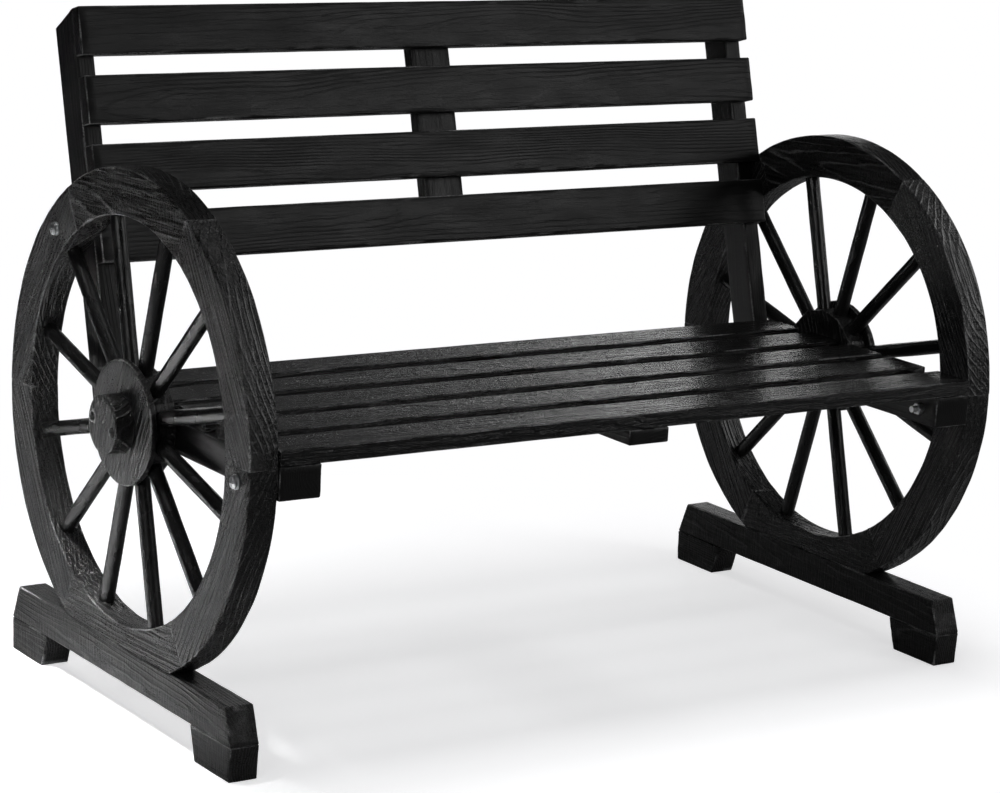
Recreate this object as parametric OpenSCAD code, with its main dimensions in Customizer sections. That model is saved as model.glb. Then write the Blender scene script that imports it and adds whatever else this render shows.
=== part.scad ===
// Rustic garden bench carried between two wagon wheels, each on its own skid rail.
// Millimetres, +X to the right, +Y to the back, +Z up. The origin is on the floor,
// in the middle of the bench's outline seen from above.

/* [Wheels] */
// Length of the bench over the outer faces of the two rims
length_over_rims = 1048; // [900:1:1400]
// Diameter of a wheel
wheel_d = 576; // [500:1:640]
// Radial depth of the rim
rim_depth = 54; // [46:1:64]
// Thickness of the rim along the hub
rim_thickness = 36; // [32:1:44]
// Depth of the flat cut off the rim where it stands on its rail
rim_flat = 28; // [16:1:34]
// Turn of the felloe joints away from midway between two spokes, in degrees
joint_turn = -2; // [-5:0.5:5]
// Number of spokes in each felloe
felloe_spokes = 2; // [1:1:2]
// Diameter of a spoke
spoke_d = 18; // [14:0.5:20]
// Depth of the blind socket that each end of a spoke sits in
spoke_socket = 16; // [10:1:20]
// Diameter of the dowels hidden in the felloe joints
dowel_d = 8; // [6:0.5:8]
// Length of a felloe dowel
dowel_length = 36; // [24:1:50]
// Distance of each felloe dowel from the middle of the rim's depth
dowel_offset = 12; // [11.5:0.5:16]

/* [Hubs] */
// Distance from the hub's axis to one of the core's flats
core_apothem = 62; // [56:1:70]
// How far the core's inner face lies back from the rim's inner face
core_recess = 1; // [0.5:0.5:4]
// Diameter of the disc on the outside of the hub
disc_d = 144; // [134:1:160]
// Thickness of the disc
disc_thickness = 8; // [6:0.5:12]
// How far the disc stands proud of the rim's outer face
disc_proud = 2; // [0:0.5:6]
// Diameter of the cap on the disc
cap_d = 68; // [64:1:80]
// Thickness of the cap
cap_thickness = 24; // [16:1:32]
// Distance of each cap screw from the hub's axis
cap_screw_offset = 24.5; // [18:0.5:25]
// Diameter of the counterbore over a cap screw
cap_recess_d = 12; // [11:0.5:13]
// Depth of the counterbore over a cap screw
cap_screw_recess = 5; // [3:0.5:8]
// Turn of the two cap screws away from level, with the rear one higher, in degrees
cap_screw_tilt = 9; // [-30:1:30]

/* [Rails] */
// Length of a rail at its knees, where it is longest
rail_length = 540; // [480:1:640]
// Height of the rail beam
rail_height = 42; // [36:1:52]
// How much shorter the beam's top is than its bottom, at each end
rail_end_slope = 16; // [6:1:24]
// Height of the foot blocks
foot_height = 40; // [30:1:50]
// Length of a foot block along its glued top
foot_length = 93; // [80:1:120]
// How far a foot's outer end draws in towards the floor
foot_outer_taper = 2; // [0:1:8]
// How far a foot's inner end draws in towards the floor
foot_inner_taper = 13; // [0:1:24]

/* [Seat] */
// Width of a seat slat
seat_slat_width = 60; // [50:1:64]
// Gap between two seat slats
seat_slat_gap = 23; // [10:1:24]
// Thickness of a seat slat
seat_slat_thickness = 18; // [16:0.5:24]
// How far the front slat stands in front of the rims
seat_overhang = 2; // [0:1:12]
// Width of a side bearer
bearer_width = 52; // [44:1:60]
// Height of a side bearer
bearer_height = 38; // [32:1:48]
// How far the middle of a side bearer lies below the wheel's centre
bearer_drop = 6; // [0:0.5:12]
// Width of the batten under the middle of the seat
batten_width = 56; // [40:1:70]
// Thickness of the batten
batten_thickness = 18; // [14:0.5:24]

/* [Back] */
// Angle that the back leans from upright, in degrees
back_lean = 16; // [8:0.5:20]
// Length of the back from the top of the bearers to its top, along the lean
back_length = 444; // [400:1:500]
// Height of a back slat
back_slat_height = 57; // [48:1:66]
// Gap between two back slats
back_slat_gap = 23.5; // [12:0.5:28]
// Thickness of a back slat
back_slat_thickness = 18; // [16:0.5:24]
// Width of a post, across the bench
post_width = 24; // [20:0.5:30]
// Depth of a post, from its front to its back
post_depth = 45; // [38:1:55]
// How far the sloping top of a post falls from front to back
post_top_drop = 16; // [0:1:24]
// Gap between the rear seat slat and the posts
post_gap = 1.5; // [0.5:0.5:6]
// Width of the stile in the middle of the back
stile_width = 56; // [40:1:70]
// Thickness of the stile
stile_thickness = 18; // [14:0.5:24]
// How far the stile's ends stop short of the top and bottom edges of the slats
stile_inset = 5; // [0:1:15]

/* [Fasteners] */
// Diameter of the bolts that hold the wheels
bolt_d = 8; // [6:0.5:8]
// Diameter of a bolt's pan head
bolt_head_d = 14.5; // [12:0.5:15.5]
// Height of a bolt's pan head
bolt_head_height = 5; // [3.5:0.5:6]
// Diameter of a washer
washer_d = 17; // [16:0.5:22]
// Thickness of a washer
washer_thickness = 1.6; // [1:0.1:2.5]
// Distance across the flats of a nut
nut_flats = 13; // [12:0.5:14]
// Height of a nut
nut_height = 6.5; // [5:0.5:8]
// Length of bolt that stands out of a nut
bolt_tail = 8; // [1:0.5:12]
// Diameter of the wood screws in the slats
slat_screw_d = 4; // [3:0.5:5]
// Diameter of a slat screw's countersunk head
slat_screw_head_d = 8; // [7:0.5:9]
// Depth that a slat screw bites into its slat
slat_screw_bite = 13; // [8:0.5:14]
// How far the screws in the side bearers lie in front of the middle of their slat
seat_screw_offset = 14; // [10:0.5:16]
// Depth of the counterbore over the screws in a bearer
bearer_screw_recess = 6; // [3:0.5:12]
// Depth of the counterbore over the screws in a post
post_screw_recess = 8; // [3:0.5:14]
// Depth that the screws in a batten or stile are sunk
thin_screw_recess = 1; // [0.5:0.5:3]
// Diameter of the heavy screws in the hubs, rails, feet and posts
frame_screw_d = 5; // [4:0.5:6]
// Diameter of a heavy screw's countersunk head
frame_screw_head_d = 9.5; // [8:0.5:11]
// Depth that a heavy screw bites into the piece that it holds
frame_screw_bite = 22; // [14:0.5:30]
// Depth that a post screw bites into the post
post_screw_bite = 16; // [10:0.5:18]
// Depth of the counterbore over a heavy screw
frame_screw_recess = 5; // [2:0.5:8]
// Distance of a foot's outer screw from the foot's outer end
foot_screw_inset = 24; // [16:1:30]
// Distance between the two screws of a foot
foot_screw_spacing = 38; // [24:1:40]
// Distance of each rail screw from the rail's middle
rail_screw_offset = 90; // [84:1:100]
// Distance between the two screws that hold a post to its bearer
post_screw_spacing = 16; // [14:1:18]
// Least distance between the wheel bolt and a slat screw in the same post
bolt_screw_room = 12; // [10:0.5:14]

/* [Clearances] */
// Clearance around a spoke or dowel in its socket, on each side
socket_gap = 0.2; // [0.1:0.05:0.4]
// Clearance around a bolt or screw in its hole, on each side
hole_gap = 0.2; // [0.1:0.05:0.5]
// Clearance of a nut or washer around its bolt, on each side
nut_gap = 0.1; // [0.05:0.05:0.3]
// Clearance of a post in the housing cut into its bearer
housing_gap = 0.3; // [0.2:0.1:1]

/* [Hidden] */
$fn = 96;

SIDES = ["left", "right"];
FELLOES = ["top", "upper_front", "lower_front", "bottom", "lower_rear", "upper_rear"];
SIDE_PIECES = [
    "rail", "front_foot", "rear_foot", "felloe_dowels", "spokes", "hub_core", "hub_disc",
    "hub_cap", "hub_screws", "seat_bearer", "back_post", "wheel_bolts", "bolt_washers",
    "bolt_nuts", "rail_screws", "foot_screws", "post_screws"
];
SEAT_SLATS = 5;
BACK_SLATS = 4;

// Heights above the floor
rail_top = foot_height + rail_height;
wheel_r = wheel_d / 2;
wheel_z = rail_top + wheel_r - rim_flat;
bearer_middle = wheel_z - bearer_drop;
bearer_bottom = bearer_middle - bearer_height / 2;
bearer_top = bearer_middle + bearer_height / 2;
seat_top = bearer_top + seat_slat_thickness;

// Places across the bench
rim_outer_x = length_over_rims / 2;
rim_inner_x = rim_outer_x - rim_thickness;
rim_middle_x = rim_outer_x - rim_thickness / 2;
bearer_middle_x = rim_inner_x - bearer_width / 2;
bearer_inner_x = rim_inner_x - bearer_width;
post_middle_x = rim_inner_x - post_width / 2;
disc_outer_x = rim_outer_x + disc_proud;
core_outer_x = disc_outer_x - disc_thickness;
core_inner_x = rim_inner_x + core_recess;
slat_length = 2 * rim_inner_x;

// Places along Y before the origin is moved, with zero at the wheels' centres
rim_middle_r = wheel_r - rim_depth / 2;
rim_inner_r = wheel_r - rim_depth;
seat_front_y = -(wheel_r + seat_overhang);
seat_pitch = seat_slat_width + seat_slat_gap;
seat_rear_y = seat_front_y + SEAT_SLATS * seat_pitch - seat_slat_gap;
post_foot_y = seat_rear_y + post_gap;
back_pitch = back_slat_height + back_slat_gap;

// A place on the post, from its distance up the lean and its depth behind the post's front
function post_y(up, depth) = post_foot_y + up * sin(back_lean) + depth * cos(back_lean);
function post_z(up, depth) = bearer_top + up * cos(back_lean) - depth * sin(back_lean);
// How far up the lean a level cut at height z meets a line at this depth
function post_up(z, depth) = (z - bearer_top + depth * sin(back_lean)) / cos(back_lean);

bearer_end_y = post_y(post_up(bearer_bottom, post_depth), post_depth);

// The front bolt goes through the rim at the bearer's middle height
front_bolt = [-sqrt(pow(rim_middle_r, 2) - pow(bearer_drop, 2)), bearer_middle];
// The rear bolt sits where the middle of the post crosses the middle of the rim
mid_post = [post_y(0, post_depth / 2), post_z(0, post_depth / 2) - wheel_z];
along = mid_post[0] * sin(back_lean) + mid_post[1] * cos(back_lean);
crossing = sqrt(pow(along, 2) - mid_post * mid_post + pow(rim_middle_r, 2)) - along;
rear_bolt = [post_y(crossing, post_depth / 2), post_z(crossing, post_depth / 2)];

// The outline seen from above sets the origin
outline_front = min(seat_front_y, -rail_length / 2);
outline_rear = max(rail_length / 2, wheel_r, post_y(back_length - post_top_drop, post_depth));
origin_y = (outline_front + outline_rear) / 2;

felloe_span = 360 / len(FELLOES);
spoke_count = felloe_spokes * len(FELLOES);
spoke_pitch = 360 / spoke_count;
spoke_start = core_apothem - spoke_socket;
spoke_end = rim_inner_r + spoke_socket;

// Screws, with the cross in the head given as parts of the shank and head
head_slope = 0.5;
screw_tip = 6;
tip_share = 0.2;
cross_width = 0.22;
cross_reach = 0.9;
cross_depth = 0.6;

// The cross in a bolt's head, as parts of the head
bolt_cross_width = 0.12;
bolt_cross_reach = 0.6;
bolt_cross_depth = 0.55;

// How far a cutting shape runs past the face that it cuts
overcut = 1;

black = "#2b2a2a";
black_end = "#353333";
zinc = "#b9bcc0";

// Moves a piece from the wheels' own zero to the bench's origin
module at_origin() {
    translate([0, -origin_y, 0]) children();
}

// Right-hand pieces are drawn, and left-hand ones are their mirror image
module on_side(side) {
    at_origin() mirror([side == "left" ? 1 : 0, 0, 0]) children();
}

// A flat drawing of Y and Z, raised along +X from x to x + width
module across(x, width) {
    translate([x, 0, 0]) rotate([90, 0, 90]) linear_extrude(height = width) children();
}

// A cylinder along +X from x to x + width
module rod_x(x, width, d) {
    translate([x, 0, 0]) rotate([90, 0, 90]) cylinder(h = width, d = d);
}

module at_wheel() {
    translate([0, 0, wheel_z]) children();
}

// Turns about the wheel's axis, from straight up towards the front
module around_wheel(angle) {
    at_wheel() rotate([angle, 0, 0]) children();
}

// Stands on the post's front face, with +Z up the lean and +Y into the post
module on_back() {
    translate([0, post_foot_y, bearer_top]) rotate([-back_lean, 0, 0]) children();
}

// Screws point along +Z from a countersunk head that is flush at zero
module wood_screw(length, d, head_d) {
    head_height = (head_d - d) * head_slope;
    slot = d * cross_width;
    reach = d * cross_reach;
    difference() {
        union() {
            cylinder(h = head_height, d1 = head_d, d2 = d);
            cylinder(h = length - screw_tip, d = d);
            translate([0, 0, length - screw_tip])
                cylinder(h = screw_tip, d1 = d, d2 = d * tip_share);
        }
        for (turn = [0, 90])
            rotate([0, 0, turn])
                translate([-reach / 2, -slot / 2, -overcut])
                    cube([reach, slot, overcut + head_height * cross_depth]);
    }
}

module screw_hole(length, d, head_d, recess) {
    head_height = (head_d - d) * head_slope;
    wide = 2 * hole_gap;
    cylinder(h = length + hole_gap, d = d + wide);
    cylinder(h = head_height, d1 = head_d + wide, d2 = d + wide);
    translate([0, 0, -recess - overcut]) cylinder(h = recess + overcut, d = head_d + wide);
}

// Felloes and their dowels, numbered from the top towards the front
function joint_angle(k) = (k - 0.5) * felloe_span + joint_turn;

module at_dowels(k) {
    around_wheel(joint_angle(k))
        for (r = [rim_middle_r - dowel_offset, rim_middle_r + dowel_offset])
            translate([rim_middle_x, 0, r]) rotate([90, 0, 0]) children();
}

module dowel_hole() {
    cylinder(h = dowel_length + 2 * socket_gap, d = dowel_d + 2 * socket_gap, center = true);
}

// The wedge of the wheel between two joints
module wedge(k) {
    ends = [for (a = [joint_angle(k), joint_angle(k + 1)]) wheel_d * [-sin(a), cos(a)]];
    at_wheel() across(rim_inner_x, rim_thickness) polygon([[0, 0], ends[0], ends[1]]);
}

module rim_ring() {
    cut_width = rim_thickness + 2 * overcut;
    difference() {
        at_wheel() rod_x(rim_inner_x, rim_thickness, wheel_d);
        at_wheel() rod_x(rim_inner_x - overcut, cut_width, 2 * rim_inner_r);
        translate([rim_inner_x - overcut, -wheel_r, 0]) cube([cut_width, wheel_d, rail_top]);
    }
}

module felloe(side, k) {
    color(black)
        on_side(side)
            difference() {
                intersection() {
                    rim_ring();
                    wedge(k);
                }
                spoke_sockets();
                at_dowels(k) dowel_hole();
                at_dowels(k + 1) dowel_hole();
                wheel_bolt_holes();
                at_rail_screws() rail_screw_hole();
            }
}

module felloe_dowels(side) {
    color(black_end)
        on_side(side)
            for (k = [0 : len(FELLOES) - 1])
                at_dowels(k) cylinder(h = dowel_length, d = dowel_d, center = true);
}

// Spokes and hub
function spoke_angle(i) = (i + (felloe_spokes + 1) / 2) * spoke_pitch;

module at_spokes() {
    for (i = [0 : spoke_count - 1])
        around_wheel(spoke_angle(i)) translate([rim_middle_x, 0, 0]) children();
}

module spokes(side) {
    color(black)
        on_side(side)
            at_spokes()
                translate([0, 0, spoke_start]) cylinder(h = spoke_end - spoke_start, d = spoke_d);
}

module spoke_sockets() {
    at_spokes()
        translate([0, 0, spoke_start - socket_gap])
            cylinder(h = spoke_end - spoke_start + 2 * socket_gap, d = spoke_d + 2 * socket_gap);
}

module at_cap_screws() {
    for (y = [-cap_screw_offset, cap_screw_offset])
        around_wheel(cap_screw_tilt)
            translate([disc_outer_x + cap_thickness - cap_screw_recess, y, 0])
                rotate([90, 0, -90]) children();
}

cap_screw_length = cap_thickness - cap_screw_recess + disc_thickness + frame_screw_bite;

module cap_screw_hole() {
    screw_hole(cap_screw_length, frame_screw_d, frame_screw_head_d, cap_screw_recess);
    translate([0, 0, -cap_screw_recess - overcut])
        cylinder(h = cap_screw_recess + overcut, d = cap_recess_d);
}

module hub_core(side) {
    corner_r = core_apothem / cos(spoke_pitch / 2);
    corners = [for (i = [0 : spoke_count - 1]) spoke_angle(i) + spoke_pitch / 2];
    color(black)
        on_side(side)
            difference() {
                at_wheel()
                    across(core_inner_x, core_outer_x - core_inner_x)
                        polygon([for (a = corners) corner_r * [-sin(a), cos(a)]]);
                spoke_sockets();
                at_cap_screws() cap_screw_hole();
            }
}

module hub_disc(side) {
    color(black)
        on_side(side)
            difference() {
                at_wheel() rod_x(core_outer_x, disc_thickness, disc_d);
                at_cap_screws() cap_screw_hole();
            }
}

module hub_cap(side) {
    color(black)
        on_side(side)
            difference() {
                at_wheel() rod_x(disc_outer_x, cap_thickness, cap_d);
                at_cap_screws() cap_screw_hole();
            }
}

module hub_screws(side) {
    color(zinc)
        on_side(side)
            at_cap_screws() wood_screw(cap_screw_length, frame_screw_d, frame_screw_head_d);
}

// Rails and feet
rail_screw_length = rail_height + frame_screw_bite - frame_screw_recess;

module at_rail_screws() {
    for (y = [-rail_screw_offset, rail_screw_offset])
        translate([rim_middle_x, y, foot_height + frame_screw_recess]) children();
}

module rail_screw_hole() {
    screw_hole(rail_screw_length, frame_screw_d, frame_screw_head_d, frame_screw_recess);
}

foot_screw_length = foot_height + frame_screw_bite - frame_screw_recess;

module at_foot_screws(end) {
    for (inset = [foot_screw_inset, foot_screw_inset + foot_screw_spacing])
        translate([rim_middle_x, end * (rail_length / 2 - inset), frame_screw_recess]) children();
}

module foot_screw_hole() {
    screw_hole(foot_screw_length, frame_screw_d, frame_screw_head_d, frame_screw_recess);
}

module rail(side) {
    knee = rail_length / 2;
    top = knee - rail_end_slope;
    outline = [[-knee, foot_height], [knee, foot_height], [top, rail_top], [-top, rail_top]];
    color(black)
        on_side(side)
            difference() {
                across(rim_inner_x, rim_thickness) polygon(outline);
                at_rail_screws() rail_screw_hole();
                for (end = [-1, 1])
                    at_foot_screws(end) foot_screw_hole();
            }
}

module foot(side, end) {
    outer = rail_length / 2;
    inner = outer - foot_length;
    outline = [
        [end * outer, foot_height], [end * inner, foot_height],
        [end * (inner + foot_inner_taper), 0], [end * (outer - foot_outer_taper), 0]
    ];
    color(black_end)
        on_side(side)
            difference() {
                across(rim_inner_x, rim_thickness) polygon(outline);
                at_foot_screws(end) foot_screw_hole();
            }
}

module rail_screws(side) {
    color(zinc)
        on_side(side)
            at_rail_screws() wood_screw(rail_screw_length, frame_screw_d, frame_screw_head_d);
}

module foot_screws(side) {
    color(zinc)
        on_side(side)
            for (end = [-1, 1])
                at_foot_screws(end) wood_screw(foot_screw_length, frame_screw_d, frame_screw_head_d);
}

// Bolts through the rim into the bearer and the post, with the head on the outside
module at_bolt(place) {
    translate([0, place[0], place[1]]) children();
}

module wheel_bolt_holes() {
    reach = rim_outer_x - bearer_inner_x + 2 * overcut;
    for (place = [front_bolt, rear_bolt])
        at_bolt(place) rod_x(bearer_inner_x - overcut, reach, bolt_d + 2 * hole_gap);
}

module wheel_bolt(inner_x) {
    tail_x = inner_x - nut_height - bolt_tail;
    seat_x = rim_outer_x + washer_thickness;
    slot = bolt_head_d * bolt_cross_width;
    reach = bolt_head_d * bolt_cross_reach;
    difference() {
        union() {
            rod_x(tail_x, seat_x - tail_x, bolt_d);
            translate([seat_x, 0, 0])
                rotate([90, 0, 90])
                    rotate_extrude()
                        intersection() {
                            translate([0, bolt_head_height - bolt_head_d]) circle(r = bolt_head_d);
                            square([bolt_head_d / 2, bolt_head_height]);
                        }
        }
        for (turn = [0, 90])
            translate([seat_x + bolt_head_height * (1 - bolt_cross_depth), 0, 0])
                rotate([turn, 0, 0])
                    translate([0, -reach / 2, -slot / 2])
                        cube([bolt_head_height, reach, slot]);
    }
}

module washer() {
    difference() {
        rod_x(rim_outer_x, washer_thickness, washer_d);
        rod_x(rim_outer_x - overcut, washer_thickness + 2 * overcut, bolt_d + 2 * nut_gap);
    }
}

module nut(x) {
    difference() {
        translate([x, 0, 0])
            rotate([90, 0, 90]) cylinder(h = nut_height, d = nut_flats / cos(30), $fn = 6);
        rod_x(x - overcut, nut_height + 2 * overcut, bolt_d + 2 * nut_gap);
    }
}

front_inner_x = bearer_inner_x;
rear_inner_x = rim_inner_x - post_width;

module wheel_bolts(side) {
    color(zinc)
        on_side(side) {
            at_bolt(front_bolt) wheel_bolt(front_inner_x);
            at_bolt(rear_bolt) wheel_bolt(rear_inner_x);
        }
}

module bolt_washers(side) {
    color(zinc)
        on_side(side)
            for (place = [front_bolt, rear_bolt])
                at_bolt(place) washer();
}

module bolt_nuts(side) {
    color(zinc)
        on_side(side) {
            at_bolt(front_bolt) nut(front_inner_x - nut_height);
            at_bolt(rear_bolt) nut(rear_inner_x - nut_height);
        }
}

// Seat
bearer_screw_length = bearer_height + slat_screw_bite - bearer_screw_recess;
batten_screw_length = batten_thickness + slat_screw_bite - thin_screw_recess;

function seat_slat_y(i) = seat_front_y + (i - 1) * seat_pitch;

module at_bearer_screws() {
    for (i = [1 : SEAT_SLATS])
        translate([
            bearer_middle_x,
            seat_slat_y(i) + seat_slat_width / 2 - seat_screw_offset,
            bearer_bottom + bearer_screw_recess
        ]) children();
}

module at_batten_screws() {
    height = bearer_top - batten_thickness + thin_screw_recess;
    for (i = [1 : SEAT_SLATS])
        translate([0, seat_slat_y(i) + seat_slat_width / 2, height]) children();
}

module seat_screws_all(hole) {
    for (flip = [0, 1])
        mirror([flip, 0, 0])
            at_bearer_screws() slat_screw(bearer_screw_length, bearer_screw_recess, hole);
    at_batten_screws() slat_screw(batten_screw_length, thin_screw_recess, hole);
}

module slat_screw(length, recess, hole) {
    if (hole)
        screw_hole(length, slat_screw_d, slat_screw_head_d, recess);
    else
        wood_screw(length, slat_screw_d, slat_screw_head_d);
}

module seat_slat(i) {
    color(black)
        at_origin()
            difference() {
                translate([-slat_length / 2, seat_slat_y(i), bearer_top])
                    cube([slat_length, seat_slat_width, seat_slat_thickness]);
                seat_screws_all(true);
            }
}

module seat_slat_screws() {
    color(zinc) at_origin() seat_screws_all(false);
}

// The outer part of the bearer's rear end is cut away to house the post
module seat_bearer(side) {
    color(black_end)
        on_side(side)
            difference() {
                translate([bearer_inner_x, seat_front_y, bearer_bottom])
                    cube([bearer_width, bearer_end_y - seat_front_y, bearer_height]);
                on_back()
                    translate([rim_inner_x - post_width - housing_gap, -housing_gap, -2 * bearer_height])
                        cube([post_width + housing_gap + overcut, 3 * post_depth, 4 * bearer_height]);
                at_bearer_screws() slat_screw(bearer_screw_length, bearer_screw_recess, true);
                wheel_bolt_holes();
                at_post_screws() post_screw_hole();
            }
}

module seat_batten() {
    color(black_end)
        at_origin()
            difference() {
                translate([-batten_width / 2, seat_front_y, bearer_top - batten_thickness])
                    cube([batten_width, seat_rear_y - seat_front_y, batten_thickness]);
                at_batten_screws() slat_screw(batten_screw_length, thin_screw_recess, true);
            }
}

// Back
post_back_screw_length = post_depth + slat_screw_bite - post_screw_recess;
stile_screw_length = stile_thickness + slat_screw_bite - thin_screw_recess;
post_screw_length = bearer_width - post_width + post_screw_bite - frame_screw_recess;

function back_slat_top(i) = back_length - (i - 1) * back_pitch;
function back_slat_middle(i) = back_slat_top(i) - back_slat_height / 2;
function back_slat_bottom(i) = back_slat_top(i) - back_slat_height;
// A screw that would come too near the wheel bolt moves up or down its slat
function clear_of_bolt(up) =
    abs(up - crossing) > bolt_screw_room ? up : crossing + (up < crossing ? -1 : 1) * bolt_screw_room;
function post_screw_up(i) = clear_of_bolt(back_slat_middle(i));

module at_post_slat_screws() {
    on_back()
        for (i = [1 : BACK_SLATS])
            translate([post_middle_x, post_depth - post_screw_recess, post_screw_up(i)])
                rotate([90, 0, 0]) children();
}

module at_stile_screws() {
    on_back()
        for (i = [1 : BACK_SLATS])
            translate([0, stile_thickness - thin_screw_recess, back_slat_middle(i)])
                rotate([90, 0, 0]) children();
}

module post_slat_screws(hole) {
    at_post_slat_screws() slat_screw(post_back_screw_length, post_screw_recess, hole);
}

module stile_screws(hole) {
    at_stile_screws() slat_screw(stile_screw_length, thin_screw_recess, hole);
}

module back_screws_all(hole) {
    for (flip = [0, 1])
        mirror([flip, 0, 0]) post_slat_screws(hole);
    stile_screws(hole);
}

module back_slat(i) {
    color(black)
        at_origin()
            difference() {
                on_back()
                    translate([-slat_length / 2, -back_slat_thickness, back_slat_bottom(i)])
                        cube([slat_length, back_slat_thickness, back_slat_height]);
                back_screws_all(true);
            }
}

module back_slat_screws() {
    color(zinc) at_origin() back_screws_all(false);
}

// Two screws go through the bearer's inner cheek into the foot of the post
module at_post_screws() {
    for (dz = [-post_screw_spacing / 2, post_screw_spacing / 2]) {
        up = post_up(bearer_middle + dz, post_depth / 2);
        translate([bearer_inner_x + frame_screw_recess, post_y(up, post_depth / 2), bearer_middle + dz])
            rotate([90, 0, 90]) children();
    }
}

module post_screw_hole() {
    screw_hole(post_screw_length, frame_screw_d, frame_screw_head_d, frame_screw_recess);
}

module back_post(side) {
    outline = [
        [0, post_up(bearer_bottom, 0)], [post_depth, post_up(bearer_bottom, post_depth)],
        [post_depth, back_length - post_top_drop], [0, back_length]
    ];
    color(black)
        on_side(side)
            difference() {
                on_back() across(rim_inner_x - post_width, post_width) polygon(outline);
                wheel_bolt_holes();
                post_slat_screws(true);
                at_post_screws() post_screw_hole();
            }
}

module post_screws(side) {
    color(zinc)
        on_side(side)
            at_post_screws() wood_screw(post_screw_length, frame_screw_d, frame_screw_head_d);
}

module back_stile() {
    foot = back_slat_bottom(BACK_SLATS) + stile_inset;
    color(black_end)
        at_origin()
            difference() {
                on_back()
                    translate([-stile_width / 2, 0, foot])
                        cube([stile_width, stile_thickness, back_length - stile_inset - foot]);
                stile_screws(true);
            }
}

for (side = SIDES) {
    for (k = [0 : len(FELLOES) - 1])
        felloe(side, k);
    felloe_dowels(side);
    spokes(side);
    hub_core(side);
    hub_disc(side);
    hub_cap(side);
    hub_screws(side);
    rail(side);
    foot(side, -1);
    foot(side, 1);
    rail_screws(side);
    foot_screws(side);
    wheel_bolts(side);
    bolt_washers(side);
    bolt_nuts(side);
    seat_bearer(side);
    back_post(side);
    post_screws(side);
}
for (i = [1 : SEAT_SLATS])
    seat_slat(i);
for (i = [1 : BACK_SLATS])
    back_slat(i);
seat_batten();
back_stile();
seat_slat_screws();
back_slat_screws();
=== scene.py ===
"""Looks of the wagon wheel bench: rough black-stained timber, glossy seat slats and zinc-plated bolts."""
import math
import random

import bmesh
import bpy
import numpy as np
from mathutils import Matrix, Vector, noise

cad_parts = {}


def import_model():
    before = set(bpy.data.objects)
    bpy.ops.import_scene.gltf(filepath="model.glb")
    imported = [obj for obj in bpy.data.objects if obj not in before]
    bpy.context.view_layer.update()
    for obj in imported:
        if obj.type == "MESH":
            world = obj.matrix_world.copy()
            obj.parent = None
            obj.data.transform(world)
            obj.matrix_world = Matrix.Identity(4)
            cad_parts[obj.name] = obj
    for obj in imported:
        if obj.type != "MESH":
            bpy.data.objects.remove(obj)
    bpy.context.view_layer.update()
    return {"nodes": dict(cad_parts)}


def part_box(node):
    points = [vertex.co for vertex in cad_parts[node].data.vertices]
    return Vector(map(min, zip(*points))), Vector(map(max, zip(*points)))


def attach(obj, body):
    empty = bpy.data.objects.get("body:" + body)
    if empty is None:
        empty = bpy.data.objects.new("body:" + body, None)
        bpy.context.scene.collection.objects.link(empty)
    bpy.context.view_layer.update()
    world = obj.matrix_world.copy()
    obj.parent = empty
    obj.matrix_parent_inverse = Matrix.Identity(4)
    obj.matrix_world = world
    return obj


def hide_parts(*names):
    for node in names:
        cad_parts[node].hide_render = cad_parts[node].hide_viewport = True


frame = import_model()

# Camera, fitted to the photograph in metres and degrees
CAMERA_AT = Vector((-2.18437, -3.14923, 1.19440))
CAMERA_AZIMUTH = math.radians(-34.61)
CAMERA_ELEVATION = math.radians(12.72)
CAMERA_ROLL = math.radians(3.17)
FOCAL_PIXELS = 3228.9
IMAGE_WIDTH = 1000
SENSOR_MM = 36.0

# Construction that the frame doesn't state
BACK_LEAN = math.radians(16.0)
SIDES = ("left", "right")
FELLOES = ("top", "upper_front", "lower_front", "bottom", "lower_rear", "upper_rear")
SEAT_SLATS = 5
BACK_SLATS = 4
CAP_RECESS_D = 0.012

# Felloes given copies of the timber with less or more gloss, so that their tones follow how the light falls
# on the wheel: painted shade on the duller ones and painted sheen on the glossier one
FELLOE_SHADE_AND_SHEEN_LOOKS = {"top": "matt_shade_timber", "upper_rear": "dull_shade_timber", "upper_front": "shiny_sheen_timber"}

# Eased edges and hand-worn surfaces, in metres
BOARD_EDGE = 0.0016
RIM_EDGE = 0.0018
JOINT_EDGE = 0.0006
FLAT_WOBBLE = 0.00022
EDGE_WEAR = 0.0007
PAINT_SWELL = 0.0003

# Screw recesses and the post's housing in the bearer, in metres
SCREW_PROUD = 0.0003
RECESS_REACH = 0.03
RECESS_GAP = 0.0002
RECESS_NEAR = 0.002
HOUSING_SIDE_GAP = 0.0003
HOUSING_FRONT_GAP = 0.0004

# How far apart the surfaces are cut, along X, Y and Z, in metres
SLAT_STEPS = (0.012, 0.006, 0.006)
BATTEN_STEPS = (0.008, 0.012, 0.006)
STILE_STEPS = (0.008, 0.006, 0.012)
POST_STEPS = (0.006, 0.007, 0.012)
BEARER_STEPS = (0.008, 0.012, 0.008)
RAIL_STEPS = (0.006, 0.010, 0.006)
FOOT_STEPS = (0.006, 0.008, 0.006)
HUB_STEPS = (0.006, 0.006, 0.006)
RIM_STEP = 0.006
RIM_CUTS_DEEP = 9
RIM_CUTS_WIDE = 6
SPOKE_RINGS = 44
SPOKE_SIDES = 28
SMOOTH_ANGLE = math.radians(40)

# How light the rubbed edges and crests are, as wear and as a painted highlight, and how far the stain differs
# from piece to piece
WEAR_AND_GLINT_TONE = 0.45
STAIN_RANGE = (0.85, 1.15)

# Light from the surroundings, on dull surfaces and in reflections
WORLD_FILL = 0.006
SHINE_LEFT = 0.0
SHINE_RIGHT = 0.06
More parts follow.
